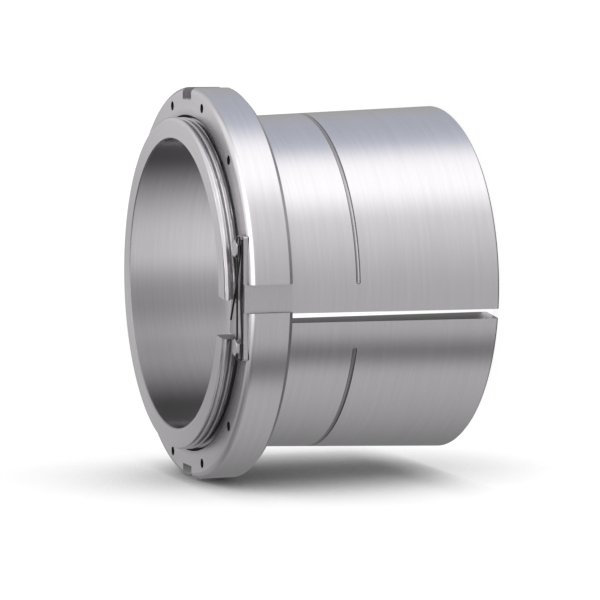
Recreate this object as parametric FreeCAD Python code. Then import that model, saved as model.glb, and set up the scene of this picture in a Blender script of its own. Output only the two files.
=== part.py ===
import FreeCAD, Part
import math
import os

# Adapter sleeve with lock nut, standing on its large end.
# Millimetres. The sleeve's axis is Z, and the large end lies in z = 0 with the threaded end up.
# The side with the locking clip faces -Y.

V = FreeCAD.Vector
ORIGIN = V(0, 0, 0)
UP = V(0, 0, 1)
FULL_TURN = 360.0
EPS = 1.0
SAME = 1e-6

# Sleeve
BORE_RADIUS = 96.0
SLEEVE_LENGTH = 186.0
THREAD_WALL = 14.0
TAPER_RATIO = 12.0
SEAT_STEP = 0.25
SEAT_UNDER_NUT = 1.2
THREAD_CHAMFER = 1.1
BORE_CHAMFER_FRONT = 0.6
LARGE_END_CHAMFER = 1.2

# Slit and keyway, both on one centre line
SLIT_ANGLE = -7.65
SLIT_WIDTH = 6.3
KEYWAY_WIDTH = 25.3
KEYWAY_UNDER_NUT = 21.5
KEYWAY_CORNER = 5.0

# Oil groove round the seat, and the duct that feeds it from the large end
GROOVE_HEIGHT = 96.7
GROOVE_WIDTH = 3.0
GROOVE_DEPTH = 1.5
GROOVE_FLOOR = 1.0
GROOVE_STOP_ANGLE = 10.8
DUCT_ANGLE = 180.0
DUCT_RADIUS = 2.0
DUCT_WALL = 6.0
FEED_RADIUS = 1.25
INLET_RADIUS = 3.0
INLET_DEPTH = 12.0

# Lock nut
NUT_SETBACK = 10.5
NUT_WIDTH = 28.7
NUT_RING = 20.0
THREAD_CLEARANCE = 0.15
NUT_FRONT_ROUND = 4.0
NUT_FRONT_ROUND_STEPS = 3
NUT_BACK_BEVEL = 3.0
NUT_BORE_BEVEL = 1.5
NUT_SLOT_COUNT = 4
NUT_SLOT_WIDTH = 18.0
NUT_SLOT_DEPTH = 7.8
HOLE_COUNT = 12
HOLE_INSET = 9.3
HOLE_DEPTH = 15.0

# Clip bolts
BOLT_RADIUS = 3.0
BOLT_THREAD_CLEARANCE = 0.1
BOLT_REACH = 11.0
HEAD_FLATS = 10.0
HEAD_HEIGHT = 4.0
HEAD_CHAMFER_ANGLE = 30.0
HEAD_FACE_SHARE = 0.95

# Locking clip
PLATE_THICKNESS = 2.9
PLATE_END_MARGIN = 8.0
PLATE_OUTER_INSET = 6.9
PLATE_THREAD_GAP = 0.6
PLATE_CORNER = 1.5
PLATE_HOLE_CLEARANCE = 0.3
TAB_SIDE_GAP = 0.15
TAB_SEAT_GAP = 0.1
TAB_END_SETBACK = 0.2
TAB_BEND = 0.6
TONGUE_SIDE_GAP = 2.1
TONGUE_BORE_SETBACK = 2.4

# Lock wire. Its places between the bolts are shares of half the distance from bolt to bolt,
# from -1 at the lower bolt to 1 at the upper one.
WIRE_RADIUS = 0.65
WIRE_HOLE_CLEARANCE = 0.2
WIRE_BEND = 1.3
WIRE_BEND_STEP = 45.0
WIRE_GAP = 0.3
WIRE_FREE_END = -0.45
WIRE_CROSSING = 0.2
WIRE_LEAVES_HEAD = 0.8
WIRE_SLACK_PLACE = 0.05

# Sizes that follow from those above
THREAD_RADIUS = BORE_RADIUS + THREAD_WALL
NUT_FACE_Z = SLEEVE_LENGTH - NUT_SETBACK
NUT_BACK_Z = NUT_FACE_Z - NUT_WIDTH
NUT_RADIUS = THREAD_RADIUS + NUT_RING
NUT_BORE_RADIUS = THREAD_RADIUS + THREAD_CLEARANCE
NUT_SLOT_FLOOR = NUT_RADIUS - NUT_SLOT_DEPTH
NUT_SLOT_CHAMFER = TAB_BEND + TAB_SEAT_GAP
SEAT_TOP_Z = NUT_BACK_Z + SEAT_UNDER_NUT
SEAT_SLOPE = 0.5 / TAPER_RATIO
SEAT_SMALL_RADIUS = THREAD_RADIUS - SEAT_STEP
LARGE_END_RADIUS = SEAT_SMALL_RADIUS + SEAT_TOP_Z * SEAT_SLOPE
KEYWAY_END_Z = NUT_FACE_Z - KEYWAY_UNDER_NUT
GROOVE_RADIUS = LARGE_END_RADIUS - GROOVE_HEIGHT * SEAT_SLOPE
DUCT_PATH_RADIUS = BORE_RADIUS + DUCT_WALL + DUCT_RADIUS
HOLE_CIRCLE_RADIUS = NUT_RADIUS - HOLE_INSET
HOLE_STEP = FULL_TURN / HOLE_COUNT
PLATE_TOP_Z = NUT_FACE_Z + PLATE_THICKNESS
PLATE_OUTER = NUT_RADIUS - PLATE_OUTER_INSET
PLATE_INNER = THREAD_RADIUS + PLATE_THREAD_GAP
BOLT_OUT = HOLE_CIRCLE_RADIUS * math.cos(math.radians(HOLE_STEP / 2))
BOLT_SIDE = HOLE_CIRCLE_RADIUS * math.sin(math.radians(HOLE_STEP / 2))
PLATE_HALF_LENGTH = BOLT_SIDE + PLATE_END_MARGIN
HEAD_CORNERS = HEAD_FLATS / math.cos(math.radians(30.0))
WIRE_LANE = HEAD_HEIGHT / 2


def revolved(points):
    """A ring from an outline of (radius, z) points, turned once round the axis."""
    corners = [V(radius, 0, z) for radius, z in points]
    outline = Part.Face(Part.makePolygon(corners + corners[:1]))
    return outline.revolve(ORIGIN, UP, FULL_TURN)


def turned(shape, angle):
    """The shape turned about the axis, counterclockwise seen from above."""
    copy = shape.copy()
    copy.rotate(ORIGIN, UP, angle)
    return copy


def upright_edges(shape):
    """The straight edges of a shape that run along Z."""
    found = []
    for edge in shape.Edges:
        if isinstance(edge.Curve, Part.Line):
            heading = edge.tangentAt(edge.FirstParameter)
            if abs(abs(heading.z) - 1) < SAME:
                found.append(edge)
    return found


def block(side, outward, height):
    """A box given by its (low, high) limits: sideways along X, outward along -Y, and up."""
    size = (side[1] - side[0], outward[1] - outward[0], height[1] - height[0])
    return Part.makeBox(*size, V(side[0], -outward[1], height[0]))


def sleeve_blank():
    """The turned sleeve: plain bore, tapered seat and threaded end at the thread's full diameter."""
    outline = [
        (BORE_RADIUS + LARGE_END_CHAMFER, 0),
        (LARGE_END_RADIUS - LARGE_END_CHAMFER, 0),
        (LARGE_END_RADIUS - LARGE_END_CHAMFER * SEAT_SLOPE, LARGE_END_CHAMFER),
        (SEAT_SMALL_RADIUS, SEAT_TOP_Z),
        (THREAD_RADIUS, SEAT_TOP_Z),
        (THREAD_RADIUS, SLEEVE_LENGTH - THREAD_CHAMFER),
        (THREAD_RADIUS - THREAD_CHAMFER, SLEEVE_LENGTH),
        (BORE_RADIUS + BORE_CHAMFER_FRONT, SLEEVE_LENGTH),
        (BORE_RADIUS, SLEEVE_LENGTH - BORE_CHAMFER_FRONT),
        (BORE_RADIUS, LARGE_END_CHAMFER),
    ]
    return revolved(outline)


def slit_cutter():
    """The slit from end to end, opened into the wider keyway at the threaded end."""
    across = (0, LARGE_END_RADIUS + EPS)
    half_slit = SLIT_WIDTH / 2
    half_key = KEYWAY_WIDTH / 2
    slit = block((-half_slit, half_slit), across, (-EPS, SLEEVE_LENGTH))
    keyway = block((-half_key, half_key), across, (KEYWAY_END_Z, SLEEVE_LENGTH + KEYWAY_CORNER + EPS))
    corners = []
    for edge in keyway.Edges:
        along_y = abs(abs(edge.tangentAt(edge.FirstParameter).y) - 1) < SAME
        if along_y and edge.CenterOfMass.z < KEYWAY_END_Z + EPS:
            corners.append(edge)
    return turned(slit.fuse(keyway.makeFillet(KEYWAY_CORNER, corners)), SLIT_ANGLE)


def groove_cutter():
    """The oil groove, cut by a tapered mill that stops on each side of the slit."""
    half_floor = GROOVE_FLOOR / 2
    half_mouth = half_floor + (GROOVE_WIDTH / 2 - half_floor) * (GROOVE_DEPTH + EPS) / GROOVE_DEPTH
    floor_radius = GROOVE_RADIUS - GROOVE_DEPTH
    mouth_radius = GROOVE_RADIUS + EPS
    corners = [
        V(floor_radius, 0, GROOVE_HEIGHT - half_floor),
        V(mouth_radius, 0, GROOVE_HEIGHT - half_mouth),
        V(mouth_radius, 0, GROOVE_HEIGHT + half_mouth),
        V(floor_radius, 0, GROOVE_HEIGHT + half_floor),
    ]
    cut_angle = FULL_TURN - 2 * GROOVE_STOP_ANGLE
    sweep = Part.Face(Part.makePolygon(corners + corners[:1])).revolve(ORIGIN, UP, cut_angle)
    mill_at = V(floor_radius, 0, GROOVE_HEIGHT)
    mill = Part.makeCone(half_floor, half_mouth, GROOVE_DEPTH + EPS, mill_at, V(1, 0, 0))
    cutter = sweep.fuse([mill, turned(mill, cut_angle)])
    return turned(cutter, SLIT_ANGLE - 90.0 + GROOVE_STOP_ANGLE)


def duct_cutter():
    """The drilled duct: an inlet in the large end, a long bore in the wall and a short feed to the groove."""
    at = V(0, -DUCT_PATH_RADIUS, -EPS)
    inlet = Part.makeCylinder(INLET_RADIUS, INLET_DEPTH + EPS, at, UP)
    bore = Part.makeCylinder(DUCT_RADIUS, GROOVE_HEIGHT + DUCT_RADIUS + EPS, at, UP)
    feed_length = GROOVE_RADIUS + EPS - DUCT_PATH_RADIUS
    feed = Part.makeCylinder(FEED_RADIUS, feed_length, V(0, -DUCT_PATH_RADIUS, GROOVE_HEIGHT), V(0, -1, 0))
    return turned(inlet.fuse([bore, feed]), SLIT_ANGLE + DUCT_ANGLE)


def adapter_sleeve():
    """The split sleeve, in one piece."""
    return sleeve_blank().cut([slit_cutter(), groove_cutter(), duct_cutter()])


def nut_front_rim():
    """The rounding between the nut's rim and its face, as the points of a few flats."""
    points = []
    for index in range(NUT_FRONT_ROUND_STEPS + 1):
        angle = math.radians(90.0 * index / NUT_FRONT_ROUND_STEPS)
        radius = NUT_RADIUS - NUT_FRONT_ROUND * (1 - math.cos(angle))
        points.append((radius, NUT_FACE_Z - NUT_FRONT_ROUND * (1 - math.sin(angle))))
    return points


def nut_blank():
    """The turned nut ring, rounded at the front rim and bevelled at the back rim and the bore."""
    outline = [
        (NUT_BORE_RADIUS + NUT_BORE_BEVEL, NUT_BACK_Z),
        (NUT_RADIUS - NUT_BACK_BEVEL, NUT_BACK_Z),
        (NUT_RADIUS, NUT_BACK_Z + NUT_BACK_BEVEL),
        *nut_front_rim(),
        (NUT_BORE_RADIUS + NUT_BORE_BEVEL, NUT_FACE_Z),
        (NUT_BORE_RADIUS, NUT_FACE_Z - NUT_BORE_BEVEL),
        (NUT_BORE_RADIUS, NUT_BACK_Z + NUT_BORE_BEVEL),
    ]
    return revolved(outline)


def nut_slots():
    """The spanner slots across the nut's rim, chamfered at the front. The first takes the clip's tab."""
    half_width = NUT_SLOT_WIDTH / 2
    outline = [
        (NUT_SLOT_FLOOR, NUT_BACK_Z - EPS),
        (NUT_SLOT_FLOOR, NUT_FACE_Z - NUT_SLOT_CHAMFER),
        (NUT_SLOT_FLOOR - NUT_SLOT_CHAMFER, NUT_FACE_Z),
        (NUT_SLOT_FLOOR - NUT_SLOT_CHAMFER, NUT_FACE_Z + EPS),
        (NUT_RADIUS + EPS, NUT_FACE_Z + EPS),
        (NUT_RADIUS + EPS, NUT_BACK_Z - EPS),
    ]
    corners = [V(-half_width, -outward, z) for outward, z in outline]
    slot = Part.Face(Part.makePolygon(corners + corners[:1])).extrude(V(NUT_SLOT_WIDTH, 0, 0))
    return [turned(slot, index * FULL_TURN / NUT_SLOT_COUNT) for index in range(NUT_SLOT_COUNT)]


def nut_holes():
    """The ring of blind tapped holes, half a step to each side of every slot."""
    radius = BOLT_RADIUS + BOLT_THREAD_CLEARANCE
    bottom = V(0, -HOLE_CIRCLE_RADIUS, NUT_FACE_Z - HOLE_DEPTH)
    hole = Part.makeCylinder(radius, HOLE_DEPTH + EPS, bottom, UP)
    return [turned(hole, (index + 0.5) * HOLE_STEP) for index in range(HOLE_COUNT)]


def lock_nut():
    """The slotted nut that draws the sleeve into the bearing."""
    return nut_blank().cut(nut_slots() + nut_holes())


def clip_plate():
    """The flat bar on the nut's face, with its two bolt holes."""
    bar = block(
        (-PLATE_HALF_LENGTH, PLATE_HALF_LENGTH),
        (PLATE_INNER, PLATE_OUTER),
        (NUT_FACE_Z, PLATE_TOP_Z),
    )
    bar = bar.makeFillet(PLATE_CORNER, upright_edges(bar))
    hole_radius = BOLT_RADIUS + PLATE_HOLE_CLEARANCE
    holes = []
    for side in (-BOLT_SIDE, BOLT_SIDE):
        centre = V(side, -BOLT_OUT, NUT_FACE_Z - EPS)
        holes.append(Part.makeCylinder(hole_radius, PLATE_THICKNESS + 2 * EPS, centre, UP))
    return bar.cut(holes)


def clip_tab():
    """The tab that bends over the nut's edge and lies on the floor of the slot."""
    under = NUT_SLOT_FLOOR + TAB_SEAT_GAP
    outside = under + PLATE_THICKNESS
    foot_z = NUT_BACK_Z + TAB_END_SETBACK
    half_width = NUT_SLOT_WIDTH / 2 - TAB_SIDE_GAP
    centre_out = under - TAB_BEND
    centre_z = NUT_FACE_Z - TAB_BEND
    inner_diagonal = TAB_BEND * math.cos(math.radians(45.0))
    outer_diagonal = (TAB_BEND + PLATE_THICKNESS) * math.cos(math.radians(45.0))

    def corner(outward, z):
        return V(-half_width, -outward, z)

    inner_mid = corner(centre_out + inner_diagonal, centre_z + inner_diagonal)
    outer_mid = corner(centre_out + outer_diagonal, centre_z + outer_diagonal)
    edges = [
        Part.makeLine(corner(PLATE_INNER, NUT_FACE_Z), corner(centre_out, NUT_FACE_Z)),
        Part.Arc(corner(centre_out, NUT_FACE_Z), inner_mid, corner(under, centre_z)).toShape(),
        Part.makeLine(corner(under, centre_z), corner(under, foot_z)),
        Part.makeLine(corner(under, foot_z), corner(outside, foot_z)),
        Part.makeLine(corner(outside, foot_z), corner(outside, centre_z)),
        Part.Arc(corner(outside, centre_z), outer_mid, corner(centre_out, PLATE_TOP_Z)).toShape(),
        Part.makeLine(corner(centre_out, PLATE_TOP_Z), corner(PLATE_INNER, PLATE_TOP_Z)),
        Part.makeLine(corner(PLATE_INNER, PLATE_TOP_Z), corner(PLATE_INNER, NUT_FACE_Z)),
    ]
    section = Part.Face(Part.Wire(edges))
    return section.extrude(V(2 * half_width, 0, 0))


def clip_tongue():
    """The tongue that reaches into the sleeve's keyway and stops the nut from turning."""
    half_width = KEYWAY_WIDTH / 2 - TONGUE_SIDE_GAP
    tip = BORE_RADIUS + TONGUE_BORE_SETBACK
    root = (PLATE_INNER + PLATE_OUTER) / 2
    tongue = block((-half_width, half_width), (tip, root), (NUT_FACE_Z, PLATE_TOP_Z))
    return turned(tongue, SLIT_ANGLE)


def locking_clip():
    """The clip, cut and bent from one piece of plate."""
    return clip_plate().fuse([clip_tab(), clip_tongue()]).removeSplitter()


def bolt_head():
    """A hexagon with two corners along X, chamfered on top, standing on z = 0."""
    corners = []
    for index in range(7):
        angle = math.radians(60.0 * index)
        corners.append(V(math.cos(angle) * HEAD_CORNERS / 2, math.sin(angle) * HEAD_CORNERS / 2, 0))
    prism = Part.Face(Part.makePolygon(corners)).extrude(V(0, 0, HEAD_HEIGHT))
    face_radius = HEAD_FACE_SHARE * HEAD_FLATS / 2
    base_radius = face_radius + HEAD_HEIGHT / math.tan(math.radians(HEAD_CHAMFER_ANGLE))
    return prism.common(Part.makeCone(base_radius, face_radius, HEAD_HEIGHT))


def clip_bolt(side):
    """A hexagon bolt through the plate into a tapped hole, its head drilled across for the wire."""
    shank_length = PLATE_THICKNESS + BOLT_REACH
    shank = Part.makeCylinder(BOLT_RADIUS, shank_length, V(0, 0, -shank_length), UP)
    wire_hole = Part.makeCylinder(
        WIRE_RADIUS + WIRE_HOLE_CLEARANCE,
        HEAD_CORNERS + 2 * EPS,
        V(-HEAD_CORNERS / 2 - EPS, 0, WIRE_LANE),
        V(1, 0, 0),
    )
    bolt = bolt_head().fuse(shank).cut(wire_hole).removeSplitter()
    bolt.translate(V(side, -BOLT_OUT, PLATE_TOP_Z))
    return bolt


def wire_points():
    """The wire's route as (sideways, outward, above the plate), from its free end through both heads."""
    beside_head = BOLT_OUT + HEAD_FLATS / 2 + WIRE_RADIUS + WIRE_GAP
    past_head = BOLT_SIDE + HEAD_CORNERS / 2 + WIRE_BEND + WIRE_GAP
    halfway_out = (BOLT_OUT + beside_head) / 2
    on_plate = WIRE_RADIUS + WIRE_GAP / 2
    above_lower = on_plate + 2 * WIRE_RADIUS + WIRE_GAP
    above_lane = WIRE_LANE + 2 * WIRE_RADIUS + WIRE_GAP
    return [
        (WIRE_FREE_END * BOLT_SIDE, THREAD_RADIUS, above_lane + WIRE_GAP),
        (WIRE_CROSSING * BOLT_SIDE, halfway_out - WIRE_RADIUS, above_lane),
        (WIRE_LEAVES_HEAD * BOLT_SIDE, beside_head, above_lower),
        (past_head, beside_head, above_lower),
        (past_head, BOLT_OUT, WIRE_LANE),
        (-past_head, BOLT_OUT, WIRE_LANE),
        (-past_head, beside_head, on_plate + WIRE_RADIUS),
        (-WIRE_LEAVES_HEAD * BOLT_SIDE, beside_head, on_plate),
        (WIRE_SLACK_PLACE * BOLT_SIDE, halfway_out + WIRE_GAP, on_plate),
        (WIRE_LEAVES_HEAD * BOLT_SIDE, beside_head, on_plate),
        (past_head - WIRE_BEND, beside_head, on_plate),
    ]


def bent_route(points, radius):
    """The same route with each of its corners bent round in short steps, tangent to both runs."""
    longest_share = 0.45
    bent = [points[0]]
    for before, at, after in zip(points, points[1:], points[2:]):
        back = (before - at).normalize()
        ahead = (after - at).normalize()
        half = back.getAngle(ahead) / 2
        shorter_run = min((before - at).Length, (after - at).Length)
        reach = min(radius / math.tan(half), longest_share * shorter_run)
        centre = at + (back + ahead).normalize() * (reach / math.cos(half))
        first = at + back * reach - centre
        axis = first.cross(at + ahead * reach - centre)
        turn = 180.0 - 2 * math.degrees(half)
        steps = max(1, round(turn / WIRE_BEND_STEP))
        corner_reach = 1 / math.cos(math.radians(turn / steps / 2))
        for index in range(steps):
            step_turn = FreeCAD.Rotation(axis, turn * (index + 0.5) / steps)
            bent.append(centre + step_turn.multVec(first) * corner_reach)
    return bent + points[-1:]


def lock_wire():
    """The soft wire that ties the two bolt heads together."""
    points = [V(side, -out, PLATE_TOP_Z + above) for side, out, above in wire_points()]
    route = Part.makePolygon(bent_route(points, WIRE_BEND))
    section = Part.Wire(Part.makeCircle(WIRE_RADIUS, points[0], points[1] - points[0]))
    mitred = 1
    wire = route.makePipeShell([section], True, False, mitred)
    expected = math.pi * WIRE_RADIUS**2 * route.Length
    print(f"lock_wire: length {route.Length:.1f} mm, volume {wire.Volume:.1f} of {expected:.1f} mm3")
    return wire


PIECES = {
    "adapter_sleeve": adapter_sleeve,
    "lock_nut": lock_nut,
    "locking_clip": locking_clip,
    "clip_bolt_upper": lambda: clip_bolt(BOLT_SIDE),
    "clip_bolt_lower": lambda: clip_bolt(-BOLT_SIDE),
    "lock_wire": lock_wire,
}

os.makedirs("parts", exist_ok=True)
for name, make in PIECES.items():
    piece = make()
    piece.exportStep(f"parts/{name}.step")
    print(f"{name}: {piece.Volume / 1000:.2f} cm3, {len(piece.Solids)} solid, valid {piece.isValid()}")
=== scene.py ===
import math

import bmesh
import bpy
from mathutils import Matrix, Vector


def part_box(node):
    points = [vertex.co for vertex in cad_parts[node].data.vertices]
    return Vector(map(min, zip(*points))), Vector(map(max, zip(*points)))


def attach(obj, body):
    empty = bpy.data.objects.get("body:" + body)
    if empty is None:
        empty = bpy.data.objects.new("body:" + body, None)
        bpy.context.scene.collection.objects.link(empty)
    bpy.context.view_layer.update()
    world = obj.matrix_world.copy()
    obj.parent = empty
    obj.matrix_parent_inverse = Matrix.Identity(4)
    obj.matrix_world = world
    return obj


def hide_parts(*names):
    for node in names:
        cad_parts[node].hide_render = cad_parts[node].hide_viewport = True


# Adapter sleeve with its lock nut, standing on its large end. Metres, in the frame of the CAD model.
# The sleeve's axis is Z, with the threaded end up, and the side with the locking clip faces -Y.

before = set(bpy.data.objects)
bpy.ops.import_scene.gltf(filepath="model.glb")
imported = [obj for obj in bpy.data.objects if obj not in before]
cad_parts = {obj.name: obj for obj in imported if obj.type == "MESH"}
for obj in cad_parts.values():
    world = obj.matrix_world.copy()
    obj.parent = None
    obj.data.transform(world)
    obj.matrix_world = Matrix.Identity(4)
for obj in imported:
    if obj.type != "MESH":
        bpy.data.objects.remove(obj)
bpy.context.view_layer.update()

MM = 0.001
FULL_TURN = 360.0

sleeve_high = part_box("adapter_sleeve")[1]
nut_low, nut_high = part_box("lock_nut")
clip_low, clip_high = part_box("locking_clip")
bolt_low, bolt_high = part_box("clip_bolt_upper")

# Sleeve
SLEEVE_LENGTH = sleeve_high.z
BORE_RADIUS = 96.0 * MM
THREAD_RADIUS = 110.0 * MM
TAPER_RATIO = 12.0
SEAT_STEP = 0.25 * MM
SEAT_UNDER_NUT = 1.2 * MM
THREAD_CHAMFER = 1.1 * MM
BORE_CHAMFER_FRONT = 0.6 * MM
LARGE_END_CHAMFER = 1.2 * MM
SLIT_ANGLE = -7.65
SLIT_HALF_WIDTH = 3.15 * MM
KEYWAY_HALF_WIDTH = 12.65 * MM
KEYWAY_UNDER_NUT = 21.5 * MM
KEYWAY_CORNER = 5.0 * MM

# Thread: a right-hand trapezoidal one, modelled where it stands out of the nut
THREAD_PITCH = 4.0 * MM
THREAD_DEPTH = 2.25 * MM
THREAD_CREST = 0.8 * MM
THREAD_FLANK = 1.1 * MM
THREAD_START = 0.9
THREAD_RUN_OUT = 1.5 * MM
THREAD_ROW = 0.14 * MM
THREAD_HIDDEN_IN_NUT = 1.5 * MM

# Oil groove, and the duct that feeds it from the large end
GROOVE_HEIGHT = 96.7 * MM
GROOVE_WIDTH = 3.0 * MM
GROOVE_DEPTH = 1.5 * MM
GROOVE_STOP_ANGLE = 10.8
DUCT_ANGLE = 180.0
DUCT_PATH_RADIUS = 104.0 * MM
DUCT_RADIUS = 2.0 * MM
FEED_RADIUS = 1.25 * MM
INLET_RADIUS = 3.0 * MM
INLET_DEPTH = 12.0 * MM

# Lock nut
NUT_SLOT_COUNT = 4
NUT_SLOT_WIDTH = 18.0 * MM
NUT_SLOT_DEPTH = 7.8 * MM
NUT_SLOT_CHAMFER = 0.7 * MM
NUT_RADIUS = math.hypot(nut_high.x, NUT_SLOT_WIDTH / 2)
NUT_BORE_RADIUS = 110.15 * MM
NUT_FACE = nut_high.z
NUT_BACK = nut_low.z
NUT_FRONT_ROUND = 4.0 * MM
NUT_BACK_BEVEL = 3.0 * MM
NUT_BORE_BEVEL = 1.5 * MM
HOLE_COUNT = 12
HOLE_RADIUS = 3.1 * MM
HOLE_INSET = 9.3 * MM
HOLE_DEPTH = 15.0 * MM

# Clip and bolts
PLATE_TOP = NUT_FACE + 2.9 * MM
PLATE_HALF_LENGTH = clip_high.x
PLATE_OUTER = 123.1 * MM
PLATE_INNER = 110.6 * MM
PLATE_CORNER = 1.5 * MM
PLATE_HOLE_RADIUS = 3.3 * MM
TAB_HALF_WIDTH = 8.85 * MM
TAB_BEND = 0.6 * MM
TAB_OUTSIDE = -clip_low.y
TAB_FOOT = clip_low.z
TONGUE_HALF_WIDTH = 10.55 * MM
TONGUE_TIP = 98.4 * MM
SHEET_EDGE = 0.25 * MM
BOLT_SIDE = (bolt_low.x + bolt_high.x) / 2
BOLT_OUT = -(bolt_low.y + bolt_high.y) / 2
BOLT_RADIUS = 3.0 * MM
BOLT_END = bolt_low.z
HEAD_FLATS = 10.0 * MM
HEAD_HEIGHT = bolt_high.z - PLATE_TOP
HEAD_CHAMFER_ANGLE = 30.0
HEAD_FACE_SHARE = 0.95
HEAD_EDGE = 0.15 * MM
HEAD_COLUMNS = 96

# Lock wire
WIRE_RADIUS = 0.65 * MM
WIRE_HOLE_RADIUS = 0.85 * MM
WIRE_GAP = 0.3 * MM
WIRE_LOOP = 1.3 * MM
WIRE_BEND = 1.6 * MM

# Kinds of surface on the sleeve, in the order of its materials, where 0 is the turned outside
BORE = 1
CUT = 2
GROOVE = 3

# Kinds of surface on the nut, in the same way
MILLED = 1
# The holes and the bore's front bevel, painted dark as shade
PAINTED_SHADE = 2

# How finely round shapes are divided, and how far a cutter reaches past what it cuts
COLUMNS = 480
HOLE_COLUMNS = 40
OVERCUT = 1.0 * MM

# Edges that bend more than this many degrees stay sharp, and on the clip are softly broken
SHARP_ANGLE = 28.0
WIRE_SHARP_ANGLE = 50.0
CLIP_EDGE_ANGLE = 40.0

SEAT_SLOPE = 0.5 / TAPER_RATIO
SEAT_TOP = NUT_BACK + SEAT_UNDER_NUT
SEAT_SMALL_RADIUS = THREAD_RADIUS - SEAT_STEP
LARGE_END_RADIUS = SEAT_SMALL_RADIUS + SEAT_TOP * SEAT_SLOPE
KEYWAY_END = NUT_FACE - KEYWAY_UNDER_NUT
HOLE_CIRCLE_RADIUS = NUT_RADIUS - HOLE_INSET
HOLE_STEP = FULL_TURN / HOLE_COUNT

# Stands a prism of (distance from the axis, z) upright, so that it reaches out towards -Y
UPRIGHT = Matrix(((0, 0, 1, 0), (-1, 0, 0, 0), (0, 1, 0, 0), (0, 0, 0, 1)))


def new_piece(name, points, faces):
    """A mesh object from points and faces, at the origin."""
    mesh = bpy.data.meshes.new(name)
    mesh.from_pydata(points, [], faces)
    piece = bpy.data.objects.new(name, mesh)
    bpy.context.scene.collection.objects.link(piece)
    return piece


def smooth_step(value):
    """0 up to 0, 1 from 1 on, and a smooth rise between."""
    share = min(1.0, max(0.0, value))
    return share * share * (3 - 2 * share)


def polar(radius, angle, z):
    """A point at this angle in degrees, counterclockwise from +X."""
    turn = math.radians(angle)
    return (radius * math.cos(turn), radius * math.sin(turn), z)


def arc(centre_radius, centre_z, size, start, end, steps):
    """Outline points of (radius, z) on an arc, its angles measured from straight outward."""
    points = []
    for index in range(steps + 1):
        angle = math.radians(start + (end - start) * index / steps)
        points.append((centre_radius + size * math.cos(angle), centre_z + size * math.sin(angle)))
    return points


def ring_faces(rows, columns, closed_round):
    """Quads between rows of points that go round in a loop, from the last row back to the first."""
    faces = []
    for row in range(rows):
        below = row * columns
        above = (row + 1) % rows * columns
        for column in range(columns if closed_round else columns - 1):
            after = (column + 1) % columns
            faces.append((below + column, below + after, above + after, above + column))
    return faces


def wall_faces(columns):
    """Quads between two loops of points."""
    return ring_faces(2, columns, True)[:columns]


def circle(radius, z, columns=COLUMNS):
    """Points round the axis."""
    return [polar(radius, FULL_TURN * column / columns, z) for column in range(columns)]


def turned_ring(name, outline):
    """A ring made by turning a closed outline of (radius, z) round the axis."""
    points = []
    for radius, z in outline:
        points += circle(radius, z)
    return new_piece(name, points, ring_faces(len(outline), COLUMNS, True))


def cylinder(radius, length, place):
    """A closed cylinder along Z from z = 0 to length, moved by place."""
    columns = HOLE_COLUMNS
    points = circle(radius, 0, columns) + circle(radius, length, columns)
    faces = wall_faces(columns)
    faces.append(tuple(range(columns))[::-1])
    faces.append(tuple(range(columns, 2 * columns)))
    piece = new_piece("cylinder", points, faces)
    piece.data.transform(place)
    return piece


def prism(outline, height):
    """An outline of (x, y) points raised from the lower to the upper height."""
    count = len(outline)
    points = [(x, y, height[0]) for x, y in outline] + [(x, y, height[1]) for x, y in outline]
    faces = [tuple(range(count))[::-1], tuple(range(count, 2 * count)), *wall_faces(count)]
    return new_piece("prism", points, faces)


def use_modifier(piece, kind, **settings):
    """Adds a modifier to the piece and applies it to its mesh."""
    modifier = piece.modifiers.new(kind.lower(), kind)
    for name, value in settings.items():
        setattr(modifier, name, value)
    graph = bpy.context.evaluated_depsgraph_get()
    shaped = bpy.data.meshes.new_from_object(piece.evaluated_get(graph))
    piece.modifiers.clear()
    piece.data = shaped


def joined(pieces):
    """Several meshes as one, which keeps the first one's name."""
    merged = bmesh.new()
    for piece in pieces:
        merged.from_mesh(piece.data)
    merged.to_mesh(pieces[0].data)
    merged.free()
    for piece in pieces[1:]:
        bpy.data.objects.remove(piece)
    return pieces[0]


def combine(piece, tool, operation):
    """Cuts the tool out of the piece, or unites the two, and removes the tool."""
    use_modifier(piece, "BOOLEAN", operation=operation, object=tool, solver="EXACT")
    bpy.data.objects.remove(tool)
    return piece


def finish_mesh(piece, name):
    """Cleans the mesh, turns its faces outward and shades it smooth between its sharp edges."""
    same_place = 0.001 * MM
    shape = bmesh.new()
    shape.from_mesh(piece.data)
    bmesh.ops.remove_doubles(shape, verts=shape.verts, dist=same_place)
    bmesh.ops.dissolve_degenerate(shape, edges=shape.edges, dist=same_place)
    bmesh.ops.recalc_face_normals(shape, faces=shape.faces)
    shape.to_mesh(piece.data)
    shape.free()
    piece.name = name
    piece.data.name = name
    piece.data.shade_smooth()
    piece.data.set_sharp_from_angle(angle=math.radians(SHARP_ANGLE))
    weighted = piece.modifiers.new("weighted", "WEIGHTED_NORMAL")
    weighted.keep_sharp = True
    return piece


def place_piece(piece, materials, node):
    """Gives the piece its materials, and its place in the frame as the stand-in for a CAD node."""
    kinds = [polygon.material_index for polygon in piece.data.polygons]
    piece.data.materials.clear()
    for material in materials:
        piece.data.materials.append(material)
    piece.data.polygons.foreach_set("material_index", kinds)
    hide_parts(node)
    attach(piece, "root")


# Sleeve

def thread_radius(angle, z):
    """The threaded end's radius: crests that climb by one pitch a turn, and the chamfer at the front."""
    from_front = SLEEVE_LENGTH - z
    turns = (z / THREAD_PITCH - angle / FULL_TURN - THREAD_START) % 1.0
    from_crest = min(turns, 1.0 - turns) * THREAD_PITCH
    cut = smooth_step((from_crest - THREAD_CREST / 2) / THREAD_FLANK)
    cut = max(cut, smooth_step((NUT_FACE + THREAD_RUN_OUT - z) / THREAD_FLANK))
    thread = THREAD_RADIUS - THREAD_DEPTH * cut
    return min(thread, THREAD_RADIUS - THREAD_CHAMFER + from_front)


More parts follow.
